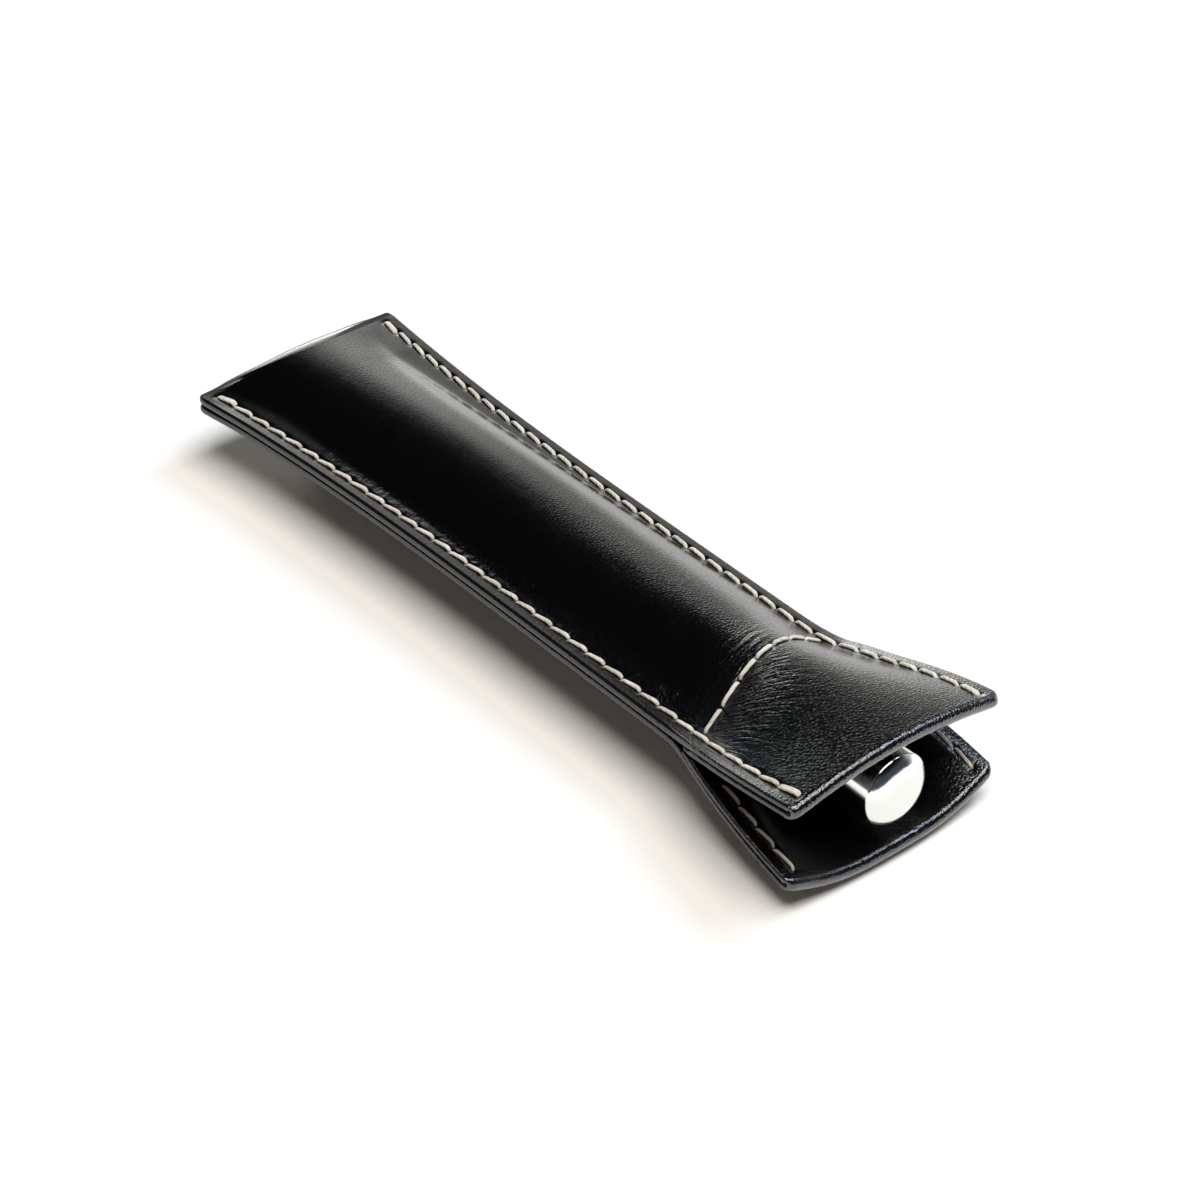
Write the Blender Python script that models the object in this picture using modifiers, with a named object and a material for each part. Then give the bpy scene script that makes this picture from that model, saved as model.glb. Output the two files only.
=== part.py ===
"""A stitched leather pen sleeve with turned flaps at its mouth, and the capped pen that it holds.

The sleeve lies flat along X: its closed end is at -X and its mouth at +X. One strip of leather runs
from the upper flap over the pouch, round the closed end and back to the lower flap. Its two sides are
sewn together as far as the neck. Past the neck each end of the strip is turned under to line its flap,
and a seam across the sleeve holds the end of that lining. All sizes are in metres.
"""

import math

import bmesh
import bpy
from mathutils import Vector

# Sleeve, measured along X from the fold at the closed end; its length follows the pen's
pen_end_room = 0.0163
flap_length = 0.0326
bend_run = 0.0056
mouth_set_back = 0.0013

# Sleeve, measured across: room beside the pen at the waist, and how much wider the two ends are
side_room = 0.0118
closed_spread = 0.0064
mouth_spread = 0.0076
waist_share = 0.66
closed_flare = 2.6
mouth_flare = 2.0
upper_edge_curve = 1.25
seam_inset = 0.0028
crease_inset = 0.0006

# Leather
leather = 0.0014
turned_leather = 0.0011
glue_gap = 0.0003
butt_gap = 0.0003
bend_gap = 0.0008

# Heights: the seam over the middle of the pen's back end, the rest over the table
seam_rise = 0.00415
closed_rise = 0.0028
closed_drop = 0.0032
closed_reach = 0.0050
belly_run = 0.0095
neck_lift = 0.0021
neck_lift_run = 0.0300
upper_corner_height = 0.0194
lower_corner_height = 0.0048
lower_lip_height = 0.0008
belly_hollow = 0.0001
hollow_curve = 4.0

# Round form of the panels, as shares of the half width between the creases
upper_flat_share = 0.10
lower_flat_share = 0.28
across_shares = (0.0, 0.14, 0.28, 0.43, 0.58, 0.72, 0.86, 1.0)
upper_fullness = 1.1
lower_fullness = 2.0
mouth_fullness = 1.15
ridge_curve = 1.3

# Seam across the sleeve, and the sewn end of the lining under it
cross_seam_run = 0.0010
cross_seam_skew = 0.0070
lining_lap = 0.0022
lining_inset = 0.0030

# Thread
thread_radius = 0.00042
thread_gap = 0.0002
thread_sag = 0.0002
stitch_pitch = 0.0044
stitch_shares = ((0.0, 0.4), (0.25, 1.0), (0.75, 1.0))
seam_end_inset = 0.0030
inner_thread_run = 0.0050
slope_step = 0.0001

# Pen
pen_length = 0.1393
pen_radius = 0.0063
pen_reach = 0.0008
pen_rise = 0.00125
pen_clearance = 0.0004
fit_gap = 0.0003
barrel_end_round = 0.0026
barrel_wall = 0.0011
barrel_floor = 0.0060
cap_length = 0.0580
cap_dome = 0.0130
cap_wall = 0.0008
cap_floor = 0.0040
cap_seam = 0.0004
grip_root = 0.0120
tip_length = 0.0100
tip_radius = 0.0014
grip_wall = 0.0017
refill_nose_radius = 0.0006
refill_point = 0.0020
liner_wall = 0.0007
liner_length = 0.0200
liner_gap = 0.0041

# Fineness of the surfaces
merge_distance = 0.00001
along_steps = 18
flap_steps = 6
fold_steps = 6
seam_steps = 60
outer_steps = 28
inner_steps = 16
round_steps = 3
dome_steps = 5

# Worked out from the sizes above
sleeve_length = pen_end_room + pen_length - pen_reach + mouth_set_back
pouch_length = sleeve_length - flap_length
flap_corner_place = sleeve_length - mouth_set_back
bend_place = pouch_length + bend_run
cross_seam_place = pouch_length + cross_seam_run
waist_width = 2 * (pen_radius + side_room)
pen_back_height = leather + pen_clearance + pen_radius
seam_height = pen_back_height + seam_rise
flap_thickness = 2 * turned_leather + glue_gap
fold_radius = flap_thickness / 2
upper_margin = seam_height + glue_gap / 2 + leather
lower_margin = seam_height - glue_gap / 2 - leather
pen_mouth_place = flap_corner_place + pen_reach
pen_mouth_height = seam_height + pen_rise
pen_tilt = math.asin((pen_mouth_height - pen_back_height) / (pen_length - barrel_end_round))
cap_place = pen_length - cap_length
barrel_front = cap_place - cap_seam
grip_radius = pen_radius - barrel_wall - fit_gap
grip_bore = grip_radius - grip_wall
refill_radius = grip_bore - fit_gap
liner_top = cap_length - cap_floor - fit_gap
grip_front = cap_seam + liner_top - liner_length - liner_gap

parts = bpy.data.collections.new("pen_sleeve")


def blend(low, high, share):
    return low + (high - low) * share


def ease(share):
    """0 to 1 with level ends."""
    share = min(max(share, 0), 1)
    return share * share * (3 - 2 * share)


def flap_share(x):
    """0 at the neck, 1 at the flap's corners."""
    return min(max((x - pouch_length) / (flap_corner_place - pouch_length), 0), 1)


def pen_height(x):
    return pen_mouth_height - (pen_mouth_place - x) * math.tan(pen_tilt)


def half_width(x):
    """Wide at the closed end, drawn in along the pen, and flared again over the flaps."""
    taper = max(1 - x / (pouch_length * waist_share), 0) ** closed_flare
    flare = 1 - (1 - flap_share(x)) ** mouth_flare
    return (waist_width + closed_spread * taper + mouth_spread * flare) / 2


def crease(x):
    """Half the width that the pen bulges: up to the seam in the pouch, nearly all of it at the mouth."""
    inset = blend(seam_inset + crease_inset, crease_inset, flap_share(x))
    return half_width(x) - inset


def fullness(x, y, flat_share, pouch_fullness):
    """1 along the middle, 0 from the crease outwards."""
    share = max(abs(y) / crease(x) - flat_share, 0) / (1 - flat_share)
    return max(1 - share * share, 0) ** blend(pouch_fullness, mouth_fullness, flap_share(x))


def upper_edge(x):
    share = 1 - (1 - flap_share(x)) ** upper_edge_curve
    return blend(upper_margin, upper_corner_height + fold_radius, share)


def lower_edge(x):
    return blend(lower_margin, lower_corner_height - fold_radius, flap_share(x))


def upper_ridge(x):
    """Height of the upper leather along the middle, clear of the pen and of the lining."""
    bend_top = (pen_height(bend_place) + pen_radius + 2 * pen_clearance
                + turned_leather + glue_gap + leather)
    mouth_top = pen_mouth_height + pen_radius + 2 * pen_clearance + flap_thickness
    if x < bend_place:
        return blend(upper_margin + closed_rise, bend_top, (x / bend_place) ** ridge_curve)
    return blend(bend_top, mouth_top, (x - bend_place) / (sleeve_length - bend_place))


def lower_ridge(x):
    """Height of the lower leather along the middle: it lies flat on the table over most of the pouch."""
    start = ease((x - closed_reach) / belly_run)
    lift = neck_lift * ease((x - bend_place + neck_lift_run) / neck_lift_run)
    settle = ease((x - bend_place) / (sleeve_length - bend_place))
    return blend(lower_margin - closed_drop, blend(lift, lower_lip_height, settle), start)


def upper_skin(x, y):
    return blend(upper_edge(x), upper_ridge(x), fullness(x, y, upper_flat_share, upper_fullness))


def hollow(x, y):
    """The flat is drawn up by a hair along its middle towards its ends, so it rests on its corners."""
    middle = (closed_reach + belly_run + bend_place - neck_lift_run) / 2
    towards_end = min(abs(x - middle) / (bend_place - neck_lift_run - middle), 1)
    across_flat = min(abs(y) / (crease(x) * lower_flat_share), 1)
    return belly_hollow * towards_end ** hollow_curve * (1 - across_flat ** 2)


def lower_skin(x, y):
    share = fullness(x, y, lower_flat_share, lower_fullness)
    return blend(lower_edge(x), lower_ridge(x), share) + hollow(x, y)


def closed_depth(y):
    """How far the round of the closed end reaches in from the fold."""
    return (upper_skin(0, y) - lower_skin(0, y)) / 2


def cross_seam(y):
    """Place of the seam across the sleeve, which runs slightly askew."""
    return cross_seam_place - cross_seam_skew * y / waist_width


def upper_lip(side_share):
    return flap_corner_place


def lower_lip(side_share):
    """The lower flap's edge bows out in the middle."""
    return sleeve_length - mouth_set_back * side_share * side_share


def place(x, y, z):
    """Sleeve measures to the part's own frame, whose origin is under the middle."""
    return Vector((x - sleeve_length / 2, y, z))


def steps(first, last, count):
    return [blend(first, last, i / count) for i in range(count + 1)]


def both_sides(half):
    return [-y for y in reversed(half) if y > 0] + half


def across(x):
    """Places across the sleeve at x, with a line on each crease and each edge."""
    return both_sides([share * crease(x) for share in across_shares] + [half_width(x)])


def across_lining(x):
    return both_sides([share * (crease(x) - lining_inset) for share in across_shares])


def material(name, colour, roughness, metallic=0.0):
    finish = bpy.data.materials.new(name)
    finish.use_nodes = True
    shader = finish.node_tree.nodes["Principled BSDF"]
    shader.inputs["Base Color"].default_value = (*colour, 1)
    shader.inputs["Roughness"].default_value = roughness
    shader.inputs["Metallic"].default_value = metallic
    return finish


def axis_empty(name, where, parent=None):
    axis = bpy.data.objects.new(name, None)
    axis.location = where
    axis.parent = parent
    parts.objects.link(axis)
    return axis


def add(name, data, finish, axis=None):
    """New part whose mesh is drawn in the part's frame, hung on its joint's axis where it moves."""
    thing = bpy.data.objects.new(name, data)
    data.materials.append(finish)
    parts.objects.link(thing)
    if axis:
        thing.parent = axis
        thing.location = -axis.location
    return thing


def sheet(name, finish, points, wall, axis=None):
    """Grid bent through rows of points, with its wall growing in from the outer face."""
    rows = len(points)
    lines = len(points[0])
    mesh = bpy.data.meshes.new(name)
    grid = bmesh.new()
    bmesh.ops.create_grid(grid, x_segments=rows - 1, y_segments=lines - 1, size=1)
    for vertex in grid.verts:
        row = round((vertex.co.x + 1) / 2 * (rows - 1))
        line = round((vertex.co.y + 1) / 2 * (lines - 1))
        vertex.co = points[row][line]
    grid.to_mesh(mesh)
    grid.free()
    thing = add(name, mesh, finish, axis)
    shell = thing.modifiers.new("wall", "SOLIDIFY")
    shell.thickness = wall
    shell.offset = -1
    shell.use_even_offset = True


def face_down(points):
    """The same rows read from the other side, so that the outer face looks down."""
    return [list(reversed(row)) for row in points]


def over(skin, x, y, outward, lift):
    """Point that stands off a skin by lift, square to its slope across the sleeve."""
    slope = (skin(x, y + slope_step) - skin(x, y - slope_step)) / (2 * slope_step)
    return place(x, y, skin(x, y) + outward * lift * math.hypot(1, slope))


def panel_points(skin):
    """Rows from the round of the closed end to the line that the flaps bend on."""
    depths = [closed_depth(y) + butt_gap for y in across(0)]
    points = []
    for share in steps(0, 1, along_steps):
        row = []
        for line, depth in enumerate(depths):
            x = blend(depth, bend_place, share)
            y = across(x)[line]
            row.append(place(x, y, skin(x, y)))
        points.append(row)
    return points


def closed_end_points():
    """Half rounds from the upper panel over the fold to the lower panel."""
    points = []
    for angle in steps(math.pi / 2, -math.pi / 2, fold_steps + 2):
        row = []
        for line, start in enumerate(across(0)):
            depth = closed_depth(start)
            x = depth * (1 - math.cos(angle))
            y = across(x)[line]
            top = upper_skin(depth, start)
            bottom = lower_skin(depth, start)
            row.append(place(x, y, (top + bottom) / 2 + (top - bottom) / 2 * math.sin(angle)))
        points.append(row)
    return points


def flap_points(skin, lip, inward):
    """Rows out along the flap, round the turned edge and back under it; inward is -1 for down."""
    start = bend_place + bend_gap
    side_shares = [y / half_width(flap_corner_place) for y in across(flap_corner_place)]
    ends = [lip(share) - fold_radius for share in side_shares]
    path = [(share, 0, 0) for share in steps(0, 1, flap_steps)]
    for angle in steps(0, math.pi, fold_steps)[1:-1]:
        path.append((1, fold_radius * math.sin(angle), fold_radius * (1 - math.cos(angle))))
    path += [(share, 0, flap_thickness) for share in steps(1, 0, flap_steps)]
    points = []
    for share, out, depth in path:
        row = []
        for line, end in enumerate(ends):
            x = blend(start, end, share)
            y = across(x)[line]
            row.append(over(skin, x, y, inward, depth) + Vector((out, 0, 0)))
        points.append(row)
    return points


def lining_points(skin, inward):
    """Sewn end of the lining, from beyond the seam across to the bend line."""
    points = []
    for share in steps(0, 1, fold_steps):
        row = []
        for line, start in enumerate(across_lining(cross_seam_place)):
            x = blend(cross_seam(start) - lining_lap, bend_place, share)
            y = across_lining(x)[line]
            row.append(over(skin, x, y, inward, leather + glue_gap))
        points.append(row)
    return points


def lay_stitches(path):
    """Points of a thread along a path, each with its thickness: full on a stitch, thin between two."""
    lengths = [0]
    for start, end in zip(path, path[1:]):
        lengths.append(lengths[-1] + (end - start).length)

    def at(distance):
        i = max(j for j in range(len(path) - 1) if lengths[j] <= distance)
        return path[i].lerp(path[i + 1], (distance - lengths[i]) / (lengths[i + 1] - lengths[i]))

    count = round(lengths[-1] / stitch_pitch)
    pitch = lengths[-1] / count
    laid = []
    for i in range(count):
        for share, thickness in stitch_shares:
            laid.append((at((i + share) * pitch), thickness))
    laid.append((path[-1], stitch_shares[0][1]))
    return laid


def thread(name, finish, path, axis=None):
    """One unbroken thread, which swells at each stitch."""
    laid = lay_stitches(path)
    curve = bpy.data.curves.new(name, "CURVE")
    curve.dimensions = "3D"
    curve.bevel_depth = thread_radius
    curve.bevel_resolution = 0
    curve.use_fill_caps = True
    spline = curve.splines.new("POLY")
    spline.points.add(len(laid) - 1)
    for point, (where, thickness) in zip(spline.points, laid):
        point.co = (*where, 1)
        point.radius = thickness
    add(name, curve, finish, axis)


def side_path(skin, side, first, last, outward, lift):
    """Along one side seam, on one face of the leather."""
    path = []
    for x in steps(first, last, seam_steps):
        y = side * (half_width(x) - seam_inset)
        path.append(over(skin, x, y, outward, lift))
    return path


def cross_path(skin, outward, lift):
    """Along the seam across the sleeve, on the outer face."""
    half = half_width(cross_seam_place) - seam_inset - 2 * thread_radius - thread_gap
    path = []
    for y in steps(-half, half, seam_steps):
        path.append(over(skin, cross_seam(y), y, outward, lift + thread_sag))
    return path


def turned(name, finish, profile, count, axis):
    """Profile of radius and height turned round the pen's axis; one off the axis closes on itself."""
    mesh = bpy.data.meshes.new(name)
    corners = [(radius, 0, height) for radius, height in profile]
    edges = [(i, i + 1) for i in range(len(profile) - 1)]
    if profile[0][0] > 0:
        edges.append((len(profile) - 1, 0))
    mesh.from_pydata(corners, edges, [])
    thing = bpy.data.objects.new(name, mesh)
    mesh.materials.append(finish)
    parts.objects.link(thing)
    thing.parent = axis
    screw = thing.modifiers.new("turned", "SCREW")
    screw.steps = count
    screw.render_steps = count
    screw.use_merge_vertices = True
    screw.merge_threshold = merge_distance
    screw.use_smooth_shade = True


def barrel_end_points():
    """Quarter round from the middle of the barrel's back end to its side."""
    flat = pen_radius - barrel_end_round
    points = [(0, 0)]
    for angle in steps(0, math.pi / 2, round_steps):
        points.append((flat + barrel_end_round * math.sin(angle), barrel_end_round * (1 - math.cos(angle))))
    return points


def cap_dome_points():
    """Part of a large round from the middle of the cap's end to its side."""
    points = []
    for radius in steps(0, pen_radius, dome_steps):
        drop = cap_dome - math.sqrt(cap_dome * cap_dome - radius * radius)
        points.append((radius, cap_length - drop))
    return points


def make_leather():
    black = material("black_leather", (0.012, 0.012, 0.013), 0.32)
    lining = material("leather_flesh_side", (0.02, 0.018, 0.017), 0.6)
    sheet("upper_panel", black, panel_points(upper_skin), leather)
    sheet("lower_panel", black, face_down(panel_points(lower_skin)), leather)
    sheet("closed_end_fold", black, face_down(closed_end_points()), leather)
    sheet("upper_lining_end", lining, lining_points(upper_skin, -1), turned_leather)
    sheet("lower_lining_end", lining, face_down(lining_points(lower_skin, 1)), turned_leather)

    upper_bend = axis_empty("upper_bend", place(bend_place, 0, upper_ridge(bend_place)))
    lower_bend = axis_empty("lower_bend", place(bend_place, 0, seam_height))
    sheet("upper_flap", black, flap_points(upper_skin, upper_lip, -1), turned_leather, upper_bend)
    sheet("lower_flap", black, face_down(flap_points(lower_skin, lower_lip, 1)), turned_leather, lower_bend)
    return upper_bend, lower_bend


def make_threads(upper_bend, lower_bend):
    """Two threads to each seam, as a lockstitch has: one on the outer face and one on the inner."""
    cream = material("waxed_thread", (0.72, 0.66, 0.56), 0.7)
    lift = thread_gap + thread_radius
    inside = -flap_thickness - lift
    pouch_ends = (seam_end_inset, bend_place - butt_gap)
    flap_ends = (bend_place + bend_gap, flap_corner_place - seam_end_inset)
    inner_ends = (bend_place + inner_thread_run, flap_corner_place - seam_end_inset)
    for label, side in (("near", -1), ("far", 1)):
        thread(label + "_side_upper_thread", cream, side_path(upper_skin, side, *pouch_ends, 1, lift))
        thread(label + "_side_lower_thread", cream, side_path(lower_skin, side, *pouch_ends, -1, lift))
        for flap, skin, outward, axis in (("upper", upper_skin, 1, upper_bend),
                                          ("lower", lower_skin, -1, lower_bend)):
            outer = side_path(skin, side, *flap_ends, outward, lift)
            inner = side_path(skin, side, *inner_ends, outward, inside)
            thread(flap + "_flap_" + label + "_outer_thread", cream, outer, axis)
            thread(flap + "_flap_" + label + "_inner_thread", cream, inner, axis)
    thread("upper_cross_thread", cream, cross_path(upper_skin, 1, lift))
    thread("lower_cross_thread", cream, cross_path(lower_skin, -1, lift))


def make_pen():
    """Pen from its round back end, at height 0 on its own axis, to the cap's top at the mouth."""
    polished = material("polished_aluminium", (0.80, 0.80, 0.82), 0.15, 1.0)
    satin = material("satin_steel", (0.55, 0.55, 0.56), 0.35, 1.0)
    plastic = material("moulded_plastic", (0.03, 0.03, 0.03), 0.5)
    back_place = pen_mouth_place - pen_length * math.cos(pen_tilt)
    back_height = pen_mouth_height - pen_length * math.sin(pen_tilt)
    pen_axis = axis_empty("pen_axis", place(back_place, 0, back_height))
    pen_axis.rotation_euler = (0, math.pi / 2 - pen_tilt, 0)
    cap_axis = axis_empty("cap_axis", (0, 0, cap_place), pen_axis)

    bore = pen_radius - barrel_wall
    barrel = [(0, barrel_floor), (bore, barrel_floor), (bore, barrel_front), (pen_radius, barrel_front)]
    barrel += reversed(barrel_end_points())
    turned("pen_barrel", polished, barrel, outer_steps, pen_axis)

    grip_top = barrel_front + grip_front
    tip_end = grip_top + tip_length
    nose_bore = refill_nose_radius + fit_gap
    grip = [(tip_radius, tip_end), (grip_radius, grip_top), (grip_radius, barrel_front - grip_root),
            (grip_bore, barrel_front - grip_root), (grip_bore, grip_top), (nose_bore, tip_end)]
    turned("pen_grip", satin, grip, inner_steps, pen_axis)

    nose_start = grip_top - fit_gap
    nose_end = tip_end + refill_point
    refill = [(0, nose_end), (refill_nose_radius, tip_end), (refill_nose_radius, nose_start),
              (refill_radius, nose_start), (refill_radius, barrel_floor + fit_gap),
              (0, barrel_floor + fit_gap)]
    turned("pen_refill", satin, refill, inner_steps, pen_axis)

    cap_bore = pen_radius - cap_wall
    cap = cap_dome_points()
    cap += [(pen_radius, 0), (cap_bore, 0), (cap_bore, cap_length - cap_floor), (0, cap_length - cap_floor)]
    turned("pen_cap", polished, cap, outer_steps, cap_axis)

    liner_radius = cap_bore - fit_gap
    liner_bore = liner_radius - liner_wall
    liner = [(0, liner_top), (liner_radius, liner_top), (liner_radius, liner_top - liner_length),
             (liner_bore, liner_top - liner_length), (liner_bore, liner_top - liner_wall),
             (0, liner_top - liner_wall)]
    turned("cap_liner", plastic, liner, inner_steps, cap_axis)


def make_pen_sleeve():
    for thing in list(bpy.data.objects):
        bpy.data.objects.remove(thing, do_unlink=True)
    bpy.context.scene.collection.children.link(parts)
    make_threads(*make_leather())
    make_pen()


make_pen_sleeve()
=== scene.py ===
import math
from functools import partial

import bpy
import numpy as np
from mathutils import Matrix, Vector


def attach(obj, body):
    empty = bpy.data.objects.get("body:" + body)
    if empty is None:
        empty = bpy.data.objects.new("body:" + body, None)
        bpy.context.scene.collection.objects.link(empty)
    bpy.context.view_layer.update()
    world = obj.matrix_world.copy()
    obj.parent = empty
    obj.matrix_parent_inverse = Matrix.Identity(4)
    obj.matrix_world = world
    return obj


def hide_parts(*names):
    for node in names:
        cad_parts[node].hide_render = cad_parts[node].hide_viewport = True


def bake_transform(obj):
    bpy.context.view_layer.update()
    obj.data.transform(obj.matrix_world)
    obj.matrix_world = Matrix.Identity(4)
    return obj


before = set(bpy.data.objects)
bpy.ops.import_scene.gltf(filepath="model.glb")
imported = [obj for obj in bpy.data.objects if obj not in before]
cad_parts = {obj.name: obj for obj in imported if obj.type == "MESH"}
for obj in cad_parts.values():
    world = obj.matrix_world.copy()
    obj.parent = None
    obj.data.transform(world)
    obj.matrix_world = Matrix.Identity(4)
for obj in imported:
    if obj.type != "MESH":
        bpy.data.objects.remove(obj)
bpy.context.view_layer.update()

# Everything is in metres. In the functions x runs from the fold of the closed end towards the mouth,
# y across (the side nearer the camera is negative) and z up from the table.
sleeve = {
    "length": 0.1561, "pouchEnd": 0.1235, "flapCorner": 0.1548, "bend": 0.1291,
    "waist": 0.0362, "closedSpread": 0.0070, "closedRun": 0.0815, "closedFlare": 2.6,
    "mouthSpread": 0.0076, "neckRound": 0.05, "endRound": 0.0028, "endFill": 0.95,
    "seamInset": 0.0028, "creaseInset": 0.0006, "creaseStart": 0.0122, "creaseGrowth": 0.0195,
    "closedWidening": 0.0038, "wideningRun": 0.009, "creaseSoft": 0.06, "softRun": 0.030, "softGain": 2,
    "ridgeShift": 0.0020, "shiftPlace": 0.048, "shiftRun": 0.035, "ridgeCurve": 1.3,
    # upper side first, then lower side
    "pouchEdge": (0.01380, 0.01070), "cornerEdge": (0.02065, 0.00355), "edgeCurve": (1.25, 1.0),
    "flat": (0.0, 0.28), "fullness": (0.94, 2.0),
    "mouthFullness": 1.1, "neckFullness": 0.4, "neckRun": 0.012,
    "closedRise": 0.0031, "closedDrop": 0.0032, "closedReach": 0.0050, "bellyRun": 0.0095,
    "neckLift": 0.0021, "neckLiftRun": 0.0300, "lipHeight": 0.0008, "bendTop": 0.022352, "mouthTop": 0.0231,
    "nearRise": 0.0005, "farRise": 0.0008, "riseRun": 0.014, "riseAtEnd": 0.3,
    "marginCurve": 1.2, "creaseCurve": 1.5,
    "farBump": 0.0009, "bumpPlace": 0.1253, "bumpRun": 0.0055,
    "endReach": 0.0007, "reachRun": 0.008, "reachSlope": 2.2, "reachStart": 0.4,
    "leather": 0.0014, "turned": 0.0011, "foldRadius": 0.00125, "edgeRound": 0.00048,
    "lipBow": 0.0013, "cornerPull": 0.0004, "cornerShare": 0.05, "seamSkew": 0.0070, "crossPlace": 0.1245,
    "liningLap": 0.0022, "liningInset": 0.0030, "liningWidening": 0.0026, "liningGap": 0.0001,
    "skiveStart": 0.1243, "skiveRun": 0.0044, "skiveLeast": 0.04, "skiveFade": 0.0015, "skiveGap": 0.0002,
    "turnedBefore": 0.004, "turnedRun": 0.008,
}
slopeStep = 0.0001  # distance over which slopes are taken


def hexColour(text):  # an sRGB hex value turned to linear
    value = np.array([int(text[i:i + 2], 16) for i in (1, 3, 5)]) / 255
    linear = np.where(value <= 0.04045, value / 12.92, ((value + 0.055) / 1.055) ** 2.4)
    return (*linear.tolist(), 1.0)


def setInputs(node, values, links):
    # constant values and links by the input's name or number; a node stands for its first output in use
    for socket, value in values.items():
        node.inputs[socket].default_value = value
    for socket, source in links.items():
        if isinstance(source, bpy.types.Node):
            source = next(output for output in source.outputs if output.enabled)
        node.id_data.links.new(source, node.inputs[socket])


def addNode(tree, kind, settings=None, values=None, links=None):
    node = tree.nodes.new("ShaderNode" + kind)
    for name, value in (settings or {}).items():
        setattr(node, name, value)
    setInputs(node, values or {}, links or {})
    return node


# settings that many nodes share
times, timesPlus = {"operation": "MULTIPLY"}, {"operation": "MULTIPLY_ADD"}
eased, colours, numbers = {"interpolation_type": "SMOOTHSTEP"}, {"data_type": "RGBA"}, {"data_type": "FLOAT"}


def ease(t):  # 3t² - 2t³ between 0 and 1
    t = np.clip(t, 0, 1)
    return t * t * (3 - 2 * t)


def blend(low, high, share):
    return low + (high - low) * share


def hill(distance, width):  # bell curve of the distance over the width
    return np.exp(-(distance / width) ** 2)


def addObject(name, data):  # an object of that mesh, light or camera, in the scene
    thing = bpy.data.objects.new(name, data)
    bpy.context.scene.collection.objects.link(thing)
    return thing


def signedVolume(points, faces):  # sum of a·(b×c)/6 over the fans of all faces
    total = 0.0
    for group in faces:
        first = points[group[:, 0]]
        for i in range(1, group.shape[1] - 1):
            normal = np.cross(points[group[:, i]], points[group[:, i + 1]])
            total += np.einsum("ij,ij->", first, normal) / 6
    return total


def makePiece(name, points, faces, finish, attributes=None, uv=None, sharpCaps=0):
    # faces is a list of whole-number arrays, one array for each count of corners
    points = np.asarray(points, float)
    if signedVolume(points, faces) < 0:
        faces = [group[:, ::-1] for group in faces]
        if uv is not None:
            uv = [part[:, ::-1] for part in uv]
    mesh = bpy.data.meshes.new(name)
    corners = np.concatenate([group.ravel() for group in faces])
    counts = np.concatenate([np.full(len(group), group.shape[1]) for group in faces])
    mesh.vertices.add(len(points))
    mesh.vertices.foreach_set("co", points.ravel())
    mesh.loops.add(len(corners))
    mesh.loops.foreach_set("vertex_index", corners.astype(np.int32))
    mesh.polygons.add(len(counts))
    starts = np.concatenate([[0], np.cumsum(counts)[:-1]])
    mesh.polygons.foreach_set("loop_start", starts.astype(np.int32))
    mesh.update(calc_edges=True)
    mesh.validate()
    mesh.polygons.foreach_set("use_smooth", np.ones(len(counts), bool))
    if sharpCaps:
        mesh.set_sharp_from_angle(angle=math.radians(sharpCaps))
    for label, value in (attributes or {}).items():
        layer = mesh.attributes.new(label, "FLOAT", "POINT")
        layer.data.foreach_set("value", value.ravel().astype(np.float32))
    if uv is not None:
        layer = mesh.uv_layers.new(name="UVMap")
        places = np.concatenate([part.reshape(-1, 2) for part in uv])
        layer.data.foreach_set("uv", places.ravel().astype(np.float32))
    mesh.materials.append(finish)
    piece = addObject(name, mesh)
    return piece


def tubeFaces(rows, around):
    # quads of a closed tube of that many rows and points around, and the two end faces
    r, c = np.meshgrid(np.arange(rows - 1), np.arange(around), indexing="ij")
    row, n = r * around, (c + 1) % around
    quads = np.stack([row + c, row + n, row + around + n, row + around + c], -1).reshape(-1, 4)
    first = np.arange(around)[None, ::-1]
    last = (rows - 1) * around + np.arange(around)[None]
    return quads, np.concatenate([first, last])


# Shape of the sleeve

def flapShare(x):  # 0 along the pouch to 1 at the flap's corners, with a short round where it starts
    u = (x - sleeve["pouchEnd"]) / (sleeve["flapCorner"] - sleeve["pouchEnd"])
    return np.clip((u + np.sqrt(u * u + sleeve["neckRound"] ** 2)) / 2, 0, 1)


def halfWidth(x):
    # half of waist + closed spread · (1 - x/run)^flare + mouth spread · (1 - (1 - u)²), less the round
    # corners of the closed end, r (1 - √(1 - fill · (1 - x/r)²))
    taper = np.maximum(1 - x / sleeve["closedRun"], 0) ** sleeve["closedFlare"]
    mouth = 1 - (1 - flapShare(x)) ** 2
    turn = np.clip(1 - x / sleeve["endRound"], 0, 1) ** 2
    corner = sleeve["endRound"] * (1 - np.sqrt(1 - sleeve["endFill"] * turn))
    return (sleeve["waist"] + sleeve["closedSpread"] * taper + sleeve["mouthSpread"] * mouth) / 2 - corner


def creaseWidth(x):
    # half width of the bulge: start + growth · x up to the waist's seam, + widening · hill(x) at the
    # closed end, and nearly the full width at the mouth
    pouch = sleeve["waist"] / 2 - sleeve["seamInset"] - sleeve["creaseInset"]
    narrow = sleeve["creaseStart"] + sleeve["creaseGrowth"] * x
    pouch = np.minimum(narrow, pouch) + sleeve["closedWidening"] * hill(x, sleeve["wideningRun"])
    return blend(pouch, halfWidth(x) - sleeve["creaseInset"], flapShare(x))


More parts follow.
